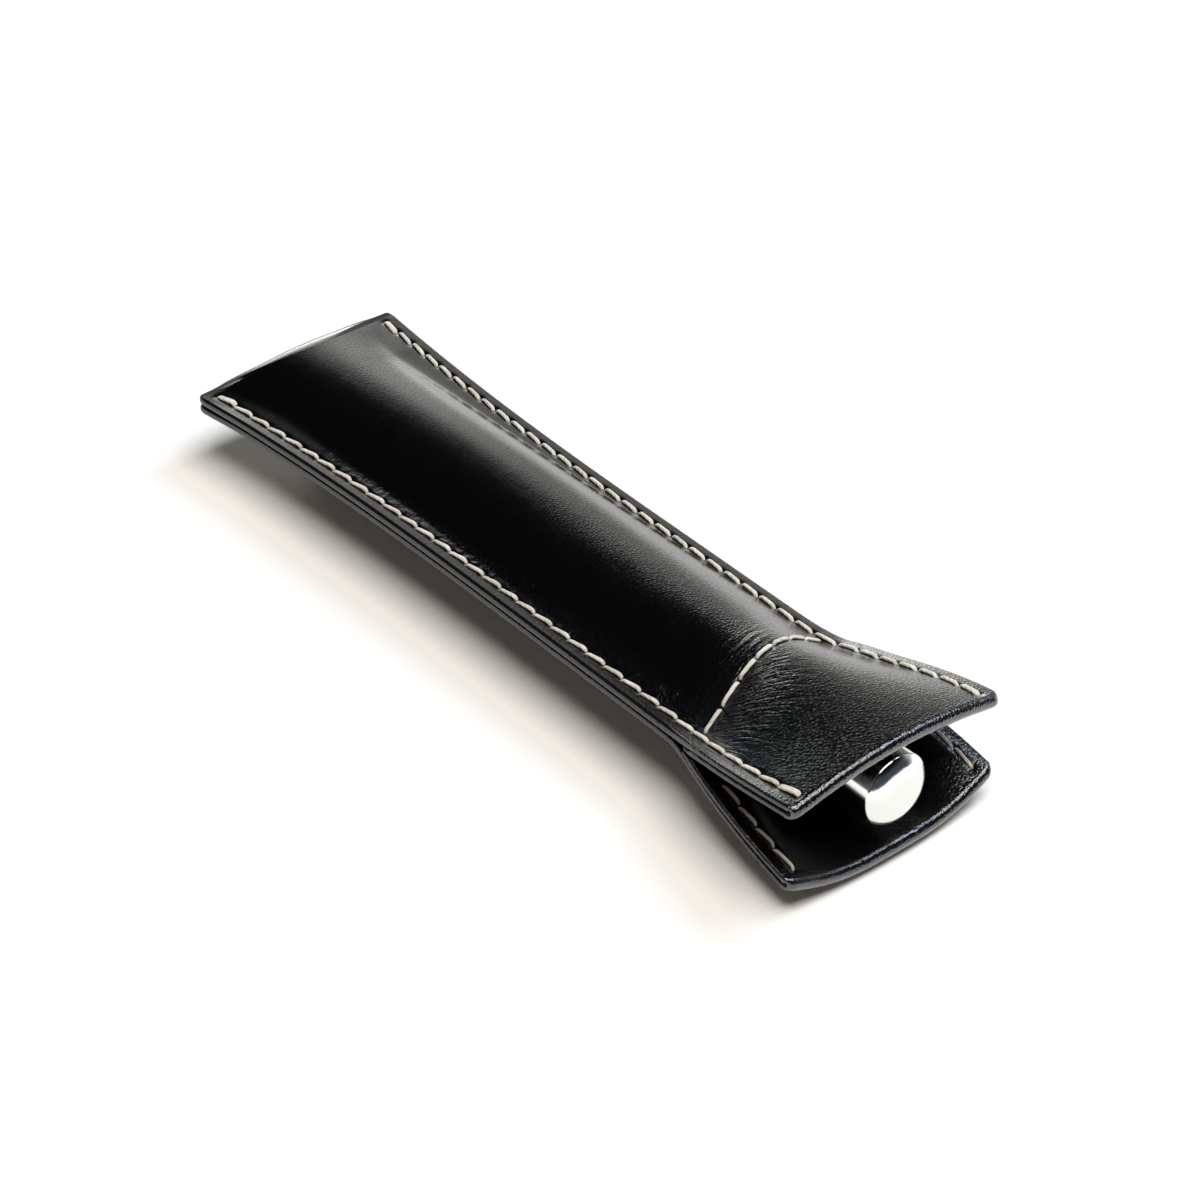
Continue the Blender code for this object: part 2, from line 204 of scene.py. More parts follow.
def fullness(x, y, side):
    # f = 1 - s², where s is the share of the way from the flat to the crease, counted on the upper face
    # from a ridge a little to the far side. The crease is rounded by (f + √(f² + soft²)) / 2, more at the
    # closed end, and raised to a power that is larger near the cross seam, where the leather is drawn down
    flat = sleeve["flat"][side]
    share = y / creaseWidth(x)
    if side == 0:
        shift = sleeve["ridgeShift"] * hill(x - sleeve["shiftPlace"], sleeve["shiftRun"]) / creaseWidth(x)
        share = share - shift * np.maximum(1 - share ** 2, 0)
    s = np.maximum(np.abs(share) - flat, 0) / (1 - flat)
    power = blend(sleeve["fullness"][side], sleeve["mouthFullness"], flapShare(x))
    if side == 0:
        power = power + sleeve["neckFullness"] * hill(x - sleeve["crossPlace"], sleeve["neckRun"])
    bulge, soft = 1 - s * s, sleeve["creaseSoft"] * (1 + sleeve["softGain"] * hill(x, sleeve["softRun"]))
    return ((bulge + np.hypot(bulge, soft)) / (1 + np.hypot(1, soft))) ** power


def edgeHeight(x, side):  # from the pouch's edge to the corner's: 1 - (1 - u)^curve
    share = 1 - (1 - flapShare(x)) ** sleeve["edgeCurve"][side]
    return blend(sleeve["pouchEdge"][side], sleeve["cornerEdge"][side], share)


def ridgeHeight(x, side):  # height of the leather along the middle: upper is side 0, lower is side 1
    past = (x - sleeve["bend"]) / (sleeve["length"] - sleeve["bend"])
    if side == 0:
        closed = sleeve["pouchEdge"][0] + sleeve["closedRise"]
        pouch = blend(closed, sleeve["bendTop"], np.clip(x / sleeve["bend"], 0, 1) ** sleeve["ridgeCurve"])
        return np.where(past < 0, pouch, blend(sleeve["bendTop"], sleeve["mouthTop"], past))
    start = ease((x - sleeve["closedReach"]) / sleeve["bellyRun"])
    lift = sleeve["neckLift"] * ease((x - sleeve["bend"] + sleeve["neckLiftRun"]) / sleeve["neckLiftRun"])
    belly = blend(lift, sleeve["lipHeight"], ease(past))
    return blend(sleeve["pouchEdge"][1] - sleeve["closedDrop"], belly, start)


def skinHeight(x, y, side):
    # edge height + (ridge height - edge height) · fullness. In the pouch the near margin rises outside
    # its seam, but not at the closed end, and the far crease rises by powers of the share of the way to it
    edge, crease = edgeHeight(x, side), creaseWidth(x)
    past = ease(x / sleeve["riseRun"])
    outside = np.clip((-y - seamPlace(x)) / sleeve["seamInset"], 0, 1)
    near = sleeve["nearRise"] * outside ** sleeve["marginCurve"] * past
    beyond = np.clip((y - crease) / (halfWidth(x) - crease), 0, 1) ** sleeve["marginCurve"]
    inside = np.clip(y / crease, 0, 1) ** sleeve["creaseCurve"]
    far = sleeve["farRise"] * inside * (1 - beyond) * blend(sleeve["riseAtEnd"], 1, past)
    rise = (near + far) * (1 - flapShare(x))
    return edge + (ridgeHeight(x, side) - edge) * fullness(x, y, side) + rise


def slopeAcross(x, y, side):
    rise = skinHeight(x, y + slopeStep, side) - skinHeight(x, y - slopeStep, side)
    return rise / (2 * slopeStep)


def depthFactor(x, y, side):  # √(1 + slope across²), which turns a thickness into a height
    return np.hypot(1, slopeAcross(x, y, side))


def closedDepth(y):  # how far the half round of the closed end reaches in from its fold
    return (skinHeight(0.0, y, 0) - skinHeight(0.0, y, 1)) / 2


def crossSeamPlace(y):  # the seam across the sleeve runs a little askew
    return sleeve["crossPlace"] - sleeve["seamSkew"] * y / sleeve["waist"]


def lipPlace(share, side):  # the mouth's edge, pulled back at the corners; the lower one bows out
    past = np.clip((np.abs(share) - 1) / sleeve["cornerShare"] + 1, 0, 1)
    corner = sleeve["cornerPull"] * past ** 2
    if side == 0:
        return sleeve["flapCorner"] - corner
    return sleeve["length"] - sleeve["lipBow"] * share ** 2 - corner


def toFrame(x, y, z):
    # moves the origin under the middle, lets the far side of the neck stand out by
    # bump · hill(along) · (share of the half width)², and draws the closed end's far corner out by
    # reach · hill(along) · (slope · y/waist - start)²
    x, y, z = np.broadcast_arrays(x, y, z)
    across = y / sleeve["waist"]
    bump = sleeve["farBump"] * hill(x - sleeve["bumpPlace"], sleeve["bumpRun"])
    drawn = np.clip(sleeve["reachSlope"] * across - sleeve["reachStart"], 0, 1) ** 2
    reach = sleeve["endReach"] * hill(x, sleeve["reachRun"]) * drawn
    return np.stack([x - reach - sleeve["length"] / 2, y + bump * np.clip(2 * across, 0, 1) ** 2, z], -1)


def seamPlace(x):  # the side seams, measured across
    return halfWidth(x) - sleeve["seamInset"]


# Stitches. Holes are placed from the closed end's fold: 28 of each side seam at an even pitch, and then
# those of the flaps
stitching = {
    "halfWidth": 0.00039, "halfHeight": 0.00030, "dip": 0.0009, "groove": 0.00020, "dipCurve": 7,
    "taper": (0.45, 0.20), "taperCurve": 5, "swell": 0.3, "innerWidth": 0.72, "along": 15, "around": 10,
    "firstHole": 0.0031, "sideHoles": 28, "pitch": {"near": 0.00437, "far": 0.00430},
    "flapHoles": {"near": [0.1253, 0.1298, 0.1345, 0.1391, 0.1436, 0.1480, 0.1527],
                  "far": [0.1240, 0.1281, 0.1322, 0.1360, 0.1399, 0.1440, 0.1483, 0.1528]},
    "holeGap": 0.00010, "slant": {"near": 0.00026, "far": 0.00013}, "secondPass": 0.0003,
    "crossEnds": (-0.0153, 0.0143), "crossHoles": 8, "crossGap": 0.0003, "innerStart": 0.004,
    "firstStitch": 0.0023, "lastStitch": 0.1535, "endFade": 0.001, "plyShift": 1.7,
}
holePlaces = {seam: np.array([stitching["firstHole"] + pitch * i for i in range(stitching["sideHoles"])]
                             + stitching["flapHoles"][seam]) for seam, pitch in stitching["pitch"].items()}


def nearestHole(x, holes):  # distance along the seam to the nearest hole
    i = np.clip(np.searchsorted(holes, x), 1, len(holes) - 1)
    return np.minimum(np.abs(x - holes[i - 1]), np.abs(x - holes[i]))


# Leather strip
strip = {
    "across": 111, "crowding": 0.75, "edgePoints": 7, "fleshStep": 4,
    "liningRows": 90, "foldRows": 17, "outerRows": 390, "closedRows": 26,
    "grooveDepth": 0.00013, "grooveWidth": 0.0007, "holeDepth": 0.00020, "holeWidth": 0.0007,
    "crossDepth": 1.3, "crossEnd": 0.0005, "crossFade": 0.0015,
    "edgeCurve": 0.7, "innerGroove": 0.003, "turnedMark": (0.0021, 0.0012),
}

# Creases of the upper leather: where each kind starts, how far it holds and over what length it fades
folds = {
    "fanStart": 0.0015, "fanHold": 0.003, "fanFade": 0.0085, "fanSide": -0.005, "fanSideFade": 0.007,
    "seamStart": 0.0008, "seamHold": 0.003, "seamFade": 0.0040,
    "seamSide": -0.006, "seamSideHold": 0.004, "seamSideFade": 0.006,
    "puckerStart": 0.0002, "puckerRise": 0.0008, "puckerHold": 0.0018, "puckerFade": 0.0020,
    "puckerFrom": 0.015, "puckerRun": 0.050, "puckerShare": 1.1,
}


def seamRelief(x, y):
    # negative along the side seams and deeper at their holes: groove · hill(across) + hole · hill(both ways)
    across = np.abs(y) - seamPlace(x)
    along = np.where(y < 0, nearestHole(x, holePlaces["near"]), nearestHole(x, holePlaces["far"]))
    reach = (ease((x - stitching["firstStitch"]) / stitching["endFade"])
             * ease((stitching["lastStitch"] - x) / stitching["endFade"]))
    groove = strip["grooveDepth"] * hill(across, strip["grooveWidth"])
    holes = strip["holeDepth"] * hill(across, strip["holeWidth"]) * hill(along, strip["holeWidth"])
    return -(groove + holes) * reach


def crossRelief(x, y):  # a deeper groove along the seam across the sleeve
    distance = x - crossSeamPlace(y)
    reach = ease((seamPlace(x) + strip["crossEnd"] - np.abs(y)) / strip["crossFade"])
    return -strip["grooveDepth"] * strip["crossDepth"] * hill(distance, strip["grooveWidth"]) * reach


def pastHold(distance, hold):  # how far the distance goes past what it holds
    return np.maximum(distance - hold, 0)


def foldShares(points):
    # where the upper leather is creased, 0 to 1: folds that fan out over the flap from the near end of
    # the cross seam, folds behind that seam and beside it, and puckers inside the near side seam.
    # Each is ease(from its start) · hill(past its hold)
    x, y = points[..., 0] + sleeve["length"] / 2, points[..., 1]
    ahead = x - crossSeamPlace(y)
    fan = (ease(ahead / folds["fanStart"]) * hill(pastHold(ahead, folds["fanHold"]), folds["fanFade"])
           * hill(pastHold(y, folds["fanSide"]), folds["fanSideFade"]))
    beside = pastHold(np.abs(y - folds["seamSide"]), folds["seamSideHold"])
    behind = (ease(-ahead / folds["seamStart"]) * hill(pastHold(-ahead, folds["seamHold"]), folds["seamFade"])
              * hill(beside, folds["seamSideFade"]))
    inside = seamPlace(x) + y
    pucker = (ease((inside - folds["puckerStart"]) / folds["puckerRise"])
              * hill(pastHold(inside, folds["puckerHold"]), folds["puckerFade"])
              * ease((x - folds["puckerFrom"]) / folds["puckerRun"]))
    return fan, behind, folds["puckerShare"] * pucker * (y < 0) * (ahead < 0)


def acrossShares():  # c = k sin(πq/2) + (1 - k) q, so that columns crowd towards the edges
    q, crowding = np.linspace(-1, 1, strip["across"]), strip["crowding"]
    return crowding * np.sin(np.pi * q / 2) + (1 - crowding) * q


def turnedShare(x):  # 0 in the pouch to 1 past the bend
    return ease((x - sleeve["bend"] + sleeve["turnedBefore"]) / sleeve["turnedRun"])


def stripGrain(side):
    # grid of the grain side: from the lining's sewn end out to the mouth, round the turned edge, back
    # along the flap and the pouch, and for the upper strip on round the closed end. Returns points,
    # thickness, the plain places x and y, and the kind of row
    c = acrossShares()[None, :]
    out = 1 if side == 0 else -1
    e, radius = sleeve["edgeRound"], sleeve["foldRadius"]
    lip = lipPlace(c, side) - radius
    parts = [[], [], [], [], []]

    def addRows(x, y, z, wall, kind):
        x, y, z, wall = np.broadcast_arrays(x, y, z, wall)
        for part, value in zip(parts, (toFrame(x, y, z), wall, x, y, np.full(x.shape, kind))):
            part.append(value)

    # lining: narrow where it is sewn, then as wide as the flap, where its margins are skived thin so that
    # they start between the two layers of the side seam
    s = np.linspace(0, 1, strip["liningRows"])[:, None]
    sewn = crossSeamPlace(c * (creaseWidth(sleeve["crossPlace"]) - sleeve["liningInset"])) - sleeve["liningLap"]
    x = blend(sewn, lip, s)
    narrow = creaseWidth(x) - sleeve["liningInset"]
    y = c * blend(narrow, halfWidth(x) - e, ease((x - sleeve["skiveStart"]) / sleeve["liningWidening"]))
    skive = np.clip((x - sleeve["skiveStart"]) / sleeve["skiveRun"], sleeve["skiveLeast"], 1)
    skive = np.maximum(skive, 1 - ease((np.abs(y) - narrow) / sleeve["skiveFade"]))
    depth = sleeve["leather"] + sleeve["liningGap"] + (sleeve["skiveGap"] + sleeve["turned"]) * skive
    depth = blend(depth, 2 * radius, turnedShare(x))
    z = skinHeight(x, y, side) - out * depth * depthFactor(x, y, side)
    addRows(x, y, z, sleeve["turned"] * skive, 0)

    # turned edge: x = lip + R sin a, depth = R (1 - cos a), from the inside to the outside
    a = np.linspace(np.pi, 0, strip["foldRows"] + 2)[1:-1, None]
    y = c * (halfWidth(lip) - e)
    z = skinHeight(lip, y, side) - out * radius * (1 - np.cos(a)) * depthFactor(lip, y, side)
    addRows(lip + radius * np.sin(a), y, z, sleeve["turned"], 1)

    # outer face from the mouth to the round of the closed end
    s = np.linspace(0, 1, strip["outerRows"])[:, None]
    closed = closedDepth(c * (halfWidth(0.0) - e))
    x = blend(lip, closed, s)
    y = c * (halfWidth(x) - e)
    addRows(x, y, skinHeight(x, y, side), blend(sleeve["leather"], sleeve["turned"], turnedShare(x)), 2)

    if side == 0:
        # closed end: x = d (1 - cos a), z = middle + half · sin a
        a = np.linspace(np.pi / 2, -np.pi / 2, strip["closedRows"] + 1)[1:, None]
        start = c * (halfWidth(0.0) - e)
        top, bottom = skinHeight(closed, start, 0), skinHeight(closed, start, 1)
        x = closed * (1 - np.cos(a))
        y = c * (halfWidth(x) - e)
        z = (top + bottom) / 2 + (top - bottom) / 2 * np.sin(a)
        addRows(x, y, z, sleeve["leather"], 3)
    return [np.concatenate(part) for part in parts]


def gridNormals(grid, out):  # cross product of the steps along and across, turned to the grain side
    along = np.gradient(grid, axis=0)
    across = np.gradient(grid, axis=1)
    normal = np.cross(along, across)
    normal /= np.linalg.norm(normal, axis=-1, keepdims=True)
    middle = grid.shape[1] // 2
    row = strip["liningRows"] + strip["foldRows"] + strip["outerRows"] // 2
    return normal if normal[row, middle, 2] * out > 0 else -normal


def stripSurface(side):
    # closed wall: grain side with its relief, a round cut edge on each side, and the flesh side, which is
    # the grain side less normal · thickness
    out = 1 if side == 0 else -1
    grain, wall, x, y, kind = stripGrain(side)
    normal = gridNormals(grain, out)
    outer = kind == 2
    sewn = outer | ((kind == 0) & (x > sleeve["bend"] + strip["innerGroove"]))
    relief = np.where(sewn, seamRelief(x, y), 0) + np.where(outer, crossRelief(x, y), 0)
    surface = grain + normal * relief[..., None]

    flesh = np.unique(np.append(np.arange(0, strip["across"], strip["fleshStep"]), strip["across"] - 1))
    inner = (grain - normal * wall[..., None])[:, flesh]
    b = np.linspace(0, np.pi, strip["edgePoints"] + 2)[1:-1]
    along = np.gradient(grain, axis=0)
    edges = []
    for column, sign in ((-1, 1), (0, -1)):
        # cut edge: depth = t (1 - cos b) / 2, out = e · sin(b)^curve, outward across the strip
        n, t = normal[:, column, None], wall[:, column, None, None]
        outward = np.cross(along[:, column], normal[:, column])
        outward /= np.linalg.norm(outward, axis=-1, keepdims=True)
        outward *= np.sign(outward[:, 1:2]) * sign
        depth = ((1 - np.cos(b)) / 2)[None, :, None]
        reach = (np.sin(b) ** strip["edgeCurve"])[None, :, None]
        edges.append(grain[:, column, None] - n * t * depth + outward[:, None] * sleeve["edgeRound"] * reach)
    loops = [surface, edges[0], inner[:, ::-1], edges[1][:, ::-1]]
    cut, back = (np.concatenate([np.full(loop.shape[:2], float(i in marked))
                                 for i, loop in enumerate(loops)], 1) for marked in ((1, 3), (2,)))
    points = np.concatenate(loops, 1)
    # rows within 2 mm of the mouth's edge
    before, fade = strip["turnedMark"]
    lip = lipPlace(points[..., 1] / halfWidth(sleeve["flapCorner"]), side) - sleeve["length"] / 2
    return points, cut, back, ease((points[..., 0] - lip + before) / fade) * (1 - back)


def makeStrip(name, side, finish, nodes):
    points, cut, back, turned = stripSurface(side)
    rows, around = points.shape[:2]
    quads, caps = tubeFaces(rows, around)
    marks = {"cutEdge": cut, "fleshSide": back, "turnedEdge": turned}
    if side == 0:
        marks.update(zip(("fanFolds", "seamFolds", "puckers"), foldShares(points)))
    faces = [quads, caps]
    piece = makePiece(name, points.reshape(-1, 3), faces, finish, marks, sharpCaps=70)
    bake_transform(piece)
    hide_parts(*nodes)
    print("strip", name, len(quads), "faces")


# Materials

# Black leather: patterns in cells to a metre, and places along the sleeve from its middle in metres
hide = {
    "dyed": "#070708", "flesh": "#191613", "cut": "#131211", "ior": 1.62,
    "roughness": (0.08, 0.17), "grainRoughness": 0.18, "fleshRoughness": 0.75, "waxRoughness": 0.12,
    "rubbedPlace": (-0.0772, -0.0752), "rubbedRoughness": 0.75,
    "pebbles": 1500.0, "dome": 0.35, "drift": 500.0, "driftSize": 0.0006, "pores": 5200.0, "patches": 260.0,
    "poreHeight": 0.8, "patchHeight": 0.3, "grainDepth": 0.00012,
    "grainPlace": (-0.020, 0.076), "grainStrength": (0.06, 0.26), "turnedStrength": 0.02,
    "foldDepth": 0.0004, "foldStrength": 0.65, "fanCentre": (0.0440, -0.0165, 0.0), "seamSlant": 0.19,
    "fan": (25.0, 200.0, 1.0), "behind": (1300.0, 170.0, 1.0), "pucker": (900.0, 900.0, 300.0),
}


def newFinish(name):  # a material, a function that adds nodes to it, and its shader
    finish = bpy.data.materials.new(name)
    finish.use_nodes = True
    return finish, partial(addNode, finish.node_tree), finish.node_tree.nodes["Principled BSDF"]


def stretchedNoise(add, place, scale, detail=2.0):  # noise with its own number of cells a metre each way
    vector = add("VectorMath", times, {1: scale}, {0: place})
    return add("TexNoise", values={"Scale": 1.0, "Detail": detail, "Roughness": 0.6}, links={"Vector": vector})


def makeLeather():
    # waxed cowhide, vat dyed, pressed smooth and lightly polished: a black semi-gloss with a fine
    # pebbled grain of about two thirds of a millimetre, burnished cut edges and a matt flesh side
    finish, add, shader = newFinish("waxedCowhide")
    place = add("TexCoord").outputs["Object"]
    x, y = add("SeparateXYZ", links={0: place}).outputs[:2]
    mark = {name: add("Attribute", {"attribute_name": name}).outputs["Fac"]
            for name in ("cutEdge", "fleshSide", "turnedEdge", "fanFolds", "seamFolds", "puckers")}

    # grain: domed pebbles, 1.5 to a millimetre and pushed about by a slower noise, with pores and patches
    drift = add("TexNoise", values={"Scale": hide["drift"], "Detail": 2.0}, links={"Vector": place})
    shift = add("VectorMath", timesPlus, {1: (hide["driftSize"],) * 3}, {0: drift.outputs["Color"], 2: place})
    pebble = add("TexVoronoi", {"feature": "DISTANCE_TO_EDGE"}, {"Scale": hide["pebbles"]}, {"Vector": shift})
    domed = add("MapRange", eased, {"From Min": 0.0, "From Max": hide["dome"]}, {"Value": pebble})
    pores = stretchedNoise(add, place, (hide["pores"],) * 3)
    patches = stretchedNoise(add, place, (hide["patches"],) * 3, 3.0)
    height = domed
    for pattern, part in ((pores, hide["poreHeight"]), (patches, hide["patchHeight"])):
        height = add("Math", timesPlus, {1: part}, {0: pattern, 2: height})
    # the hide is stretched smoother over the pouch than over the flaps
    start, end = hide["grainPlace"]
    weak, strong = hide["grainStrength"]
    grain = add("MapRange", values={"From Min": start, "From Max": end, "To Min": weak, "To Max": strong},
                links={"Value": x})
    strength = add("Math", timesPlus, {1: hide["turnedStrength"]}, {0: mark["turnedEdge"], 2: grain})
    bump = add("Bump", values={"Distance": hide["grainDepth"]}, links={"Height": height, "Strength": strength})

    # folds: round a point beside the near end of the cross seam, along that seam, and the puckers
    centre = add("VectorMath", {"operation": "SUBTRACT"}, {1: hide["fanCentre"]}, {0: shift})
    flat = add("VectorMath", times, {1: (1.0, 1.0, 0.0)}, {0: centre})
    away = add("VectorMath", {"operation": "LENGTH"}, links={0: flat})
    parts = add("SeparateXYZ", links={0: flat})
    angle = add("Math", {"operation": "ARCTAN2"}, links={0: parts.outputs["Y"], 1: parts.outputs["X"]})
    polar = add("CombineXYZ", links={"X": angle, "Y": away})
    askew = add("Math", timesPlus, {1: hide["seamSlant"]}, {0: y, 2: x})
    beside = add("CombineXYZ", links={"X": askew, "Y": y})
    fan = stretchedNoise(add, polar, hide["fan"], 3.0)
    behind = stretchedNoise(add, beside, hide["behind"])
    pucker = stretchedNoise(add, shift, hide["pucker"], 4.0)
    crease = add("Math", times, links={0: fan, 1: mark["fanFolds"]})
    for pattern, name in ((behind, "seamFolds"), (pucker, "puckers")):
        crease = add("Math", timesPlus, links={0: pattern, 1: mark[name], 2: crease})
    bump = add("Bump", values={"Strength": hide["foldStrength"], "Distance": hide["foldDepth"]},
               links={"Height": crease, "Normal": bump})

    # rougher where the grain is strong, and rubbed matt over the fold of the closed end
    low, high = hide["roughness"]
    rough = add("MapRange", values={"To Min": low, "To Max": high}, links={"Value": patches})
    rough = add("Math", timesPlus, {1: hide["grainRoughness"]}, {0: grain, 2: rough})
    start, end = hide["rubbedPlace"]
    rubbed = add("MapRange", links={"Value": x}, values={
        "From Min": start, "From Max": end, "To Min": hide["rubbedRoughness"], "To Max": 0.0})
    rough = add("Math", {"operation": "ADD"}, links={0: rough, 1: rubbed})
    rough = add("Mix", numbers, {3: hide["fleshRoughness"]}, {0: mark["fleshSide"], 2: rough})
    tone = add("Mix", colours, {6: hexColour(hide["dyed"]), 7: hexColour(hide["flesh"])},
               {0: mark["fleshSide"]})
    tone = add("Mix", colours, {7: hexColour(hide["cut"])}, {0: mark["cutEdge"], 6: tone})
    # the coat is wax rubbed into the turned edges with a hot iron
    setInputs(shader, {"IOR": hide["ior"], "Coat Roughness": hide["waxRoughness"]},
              {"Base Color": tone, "Roughness": rough, "Normal": bump,
               "Coat Normal": bump, "Coat Weight": mark["turnedEdge"]})
    return finish


thread = {
    "clean": "#e9e5db", "soiled": "#c6c0b2", "soil": 420.0, "soilRange": (0.35, 0.70), "fuzz": 4500.0,
    "plies": 3.0, "plyTurns": 0.9, "plyHeight": 0.35, "depth": 0.00012, "strength": 0.5,
    "roughness": 0.62, "ior": 1.5,
}


def makeThreadFinish():
    # waxed polyester thread of three twisted plies, flattened by the stitch: satin cream
    finish, add, shader = newFinish("waxedBraidedThread")
    coordinates = add("TexCoord").outputs
    # u is the length in millimetres and v the share of the way round: three plies, one turn in 3.3 mm
    u, v = add("SeparateXYZ", links={0: coordinates["UV"]}).outputs[:2]
    turn = add("Math", times, {1: thread["plyTurns"]}, {0: u})
    phase = add("Math", timesPlus, {1: thread["plies"]}, {0: v, 2: turn})
    angle = add("Math", times, {1: 2 * math.pi}, {0: phase})
    ply = add("Math", {"operation": "SINE"}, links={0: angle})
    fuzz = add("TexNoise", values={"Scale": thread["fuzz"], "Detail": 3.0},
               links={"Vector": coordinates["Object"]})
    height = add("Math", timesPlus, {1: thread["plyHeight"]}, {0: ply, 2: fuzz})
    bump = add("Bump", values={"Strength": thread["strength"], "Distance": thread["depth"]},
               links={"Height": height})
    soil = add("TexNoise", values={"Scale": thread["soil"], "Detail": 2.0},
               links={"Vector": coordinates["Object"]})
    clean, soiled = thread["soilRange"]
    share = add("MapRange", values={"From Min": clean, "From Max": soiled}, links={"Value": soil})
    tone = add("Mix", colours, {6: hexColour(thread["clean"]), 7: hexColour(thread["soiled"])}, {0: share})
    setInputs(shader, {"Roughness": thread["roughness"], "IOR": thread["ior"]},
              {"Base Color": tone, "Normal": bump})
    return finish


turning = {"rings": 5.0, "ringDepth": 0.00004, "spread": (0.8, 1.25), "spreadRange": (0.3, 0.7)}


def makeMetal(name, colour, roughness, strength):
    # metal turned on a lathe and polished or brushed: bright, with fine rings about its axis.
    # Attribute turnPlace is the distance along the turned profile, in millimetres
    finish, add, shader = newFinish(name)
    place = add("Attribute", {"attribute_name": "turnPlace"}).outputs["Fac"]
    rings = add("TexNoise", {"noise_dimensions": "1D"},
                {"Scale": turning["rings"], "Detail": 5.0, "Roughness": 0.7}, {"W": place})
    bump = add("Bump", values={"Strength": strength, "Distance": turning["ringDepth"]}, links={"Height": rings})
    low, high = turning["spreadRange"]
    least, most = turning["spread"]
    spread = add("MapRange", links={"Value": rings}, values={
        "From Min": low, "From Max": high, "To Min": roughness * least, "To Max": roughness * most})
    setInputs(shader, {"Base Color": hexColour(colour), "Metallic": 1.0}, {"Roughness": spread, "Normal": bump})
    return finish


moulding = {"colour": "#202021", "spark": 3000.0, "strength": 0.2, "depth": 0.00003, "roughness": (0.42, 0.58)}


def makePlastic():
    # moulded polypropylene liner: black, matt from the mould's fine spark texture
    finish, add, shader = newFinish("mouldedPolypropylene")
    place = add("TexCoord").outputs["Object"]
    spark = add("TexNoise", values={"Scale": moulding["spark"], "Detail": 3.0}, links={"Vector": place})
    bump = add("Bump", values={"Strength": moulding["strength"], "Distance": moulding["depth"]},
               links={"Height": spark})
    low, high = moulding["roughness"]
    rough = add("MapRange", values={"To Min": low, "To Max": high}, links={"Value": spark})
    setInputs(shader, {"Base Color": hexColour(moulding["colour"])}, {"Roughness": rough, "Normal": bump})
    return finish


leatherFinish = makeLeather()
threadFinish = makeThreadFinish()
polishedFinish = makeMetal("polishedAluminium", "#e8e9e5", 0.12, 0.22)
satinFinish = makeMetal("satinSteel", "#c2c2c4", 0.30, 0.25)
plasticFinish = makePlastic()
print("materials made")

makeStrip("upperLeather", 0, leatherFinish,
          ("upper_panel", "upper_flap", "closed_end_fold", "upper_lining_end"))
makeStrip("lowerLeather", 1, leatherFinish, ("lower_panel", "lower_flap", "lower_lining_end"))


# Threads

def onLeather(x, y, side, lift, inside):
    # point at height lift off the outer or inner face of the leather, and the unit direction off it
    out = 1 if side == 0 else -1
    slopeX = (skinHeight(x + slopeStep, y, side) - skinHeight(x - slopeStep, y, side)) / (2 * slopeStep)
    slopeY = slopeAcross(x, y, side)
    normal = np.stack([-slopeX, -slopeY, np.ones_like(slopeX)], -1) * out
    normal /= np.linalg.norm(normal, axis=-1, keepdims=True)
    z = skinHeight(x, y, side)
    if inside:
        z = z - out * 2 * sleeve["foldRadius"] * np.hypot(1, slopeY)
        normal = -normal
    return toFrame(x, y, z) + normal * lift[..., None], normal


def stitchTubes(starts, ends, side, inside=False):
    # starts and ends hold (x, y) of the two holes of each stitch. Centre line: from hole to hole, across
    # by the ease curve, with height = top - (top + dip) · |2t - 1|^curve. Section: a flat ellipse, whose
    # half width is w · (1 + swell · (t - 1/2)) · (1 - taper · |2t - 1|^curve)
    along, around = stitching["along"], stitching["around"]
    t = np.linspace(0, 1, along)[None, :]
    end = np.abs(2 * t - 1)
    top = stitching["halfHeight"] - stitching["groove"]
    lift = top - (top + stitching["dip"]) * end ** stitching["dipCurve"] + 0 * starts[:, :1]
    x = blend(starts[:, :1], ends[:, :1], t)
    y = blend(starts[:, 1:], ends[:, 1:], ease(t))
    centre, normal = onLeather(x, y, side, lift, inside)
    path = np.gradient(centre, axis=1)
    path /= np.linalg.norm(path, axis=-1, keepdims=True)
    across = np.cross(path, normal)
    across /= np.linalg.norm(across, axis=-1, keepdims=True)
    up = np.cross(across, path)
    slim, flat = (1 - taper * end ** stitching["taperCurve"] for taper in stitching["taper"])
    wide = stitching["halfWidth"] * (stitching["innerWidth"] if inside else 1.0)
    wide = wide * (1 + stitching["swell"] * (t - 0.5)) * slim
    high = stitching["halfHeight"] * flat
    turn = 2 * np.pi * np.linspace(0, 1, around, endpoint=False)
    ring = (across[:, :, None] * (wide[..., None] * np.cos(turn))[..., None]
            + up[:, :, None] * (high[..., None] * np.sin(turn))[..., None])
    points = centre[:, :, None] + ring

    quads, caps = tubeFaces(along, around)
    count = len(starts)
    shift = (np.arange(count) * along * around)[:, None, None]
    length = np.linalg.norm(ends - starts, axis=1)[:, None] * 1000
    u = np.arange(count)[:, None] * stitching["plyShift"] + length * t
    cornerU = np.stack([u[:, :-1], u[:, :-1], u[:, 1:], u[:, 1:]], -1)[:, :, None].repeat(around, axis=2)
    c = np.arange(around)
    cornerV = np.broadcast_to(np.stack([c, c + 1, c + 1, c], -1) / around, cornerU.shape)
    uvQuads = np.stack([cornerU, cornerV], -1).reshape(-1, 4, 2)
    faces = [(quads[None] + shift).reshape(-1, 4), (caps[None] + shift).reshape(-1, around)]
    return points.reshape(-1, 3), faces, [uvQuads, np.zeros((2 * count, around, 2))]


def sideHoles(holes, sign, slant):
    # pairs of holes along a side seam; each stitch runs a little askew across the seam line
    y = sign * seamPlace(holes)
    starts = np.stack([holes[:-1] + stitching["holeGap"], y[:-1] + sign * slant], -1)
    ends = np.stack([holes[1:] - stitching["holeGap"], y[1:] - sign * slant], -1)
    return starts, ends


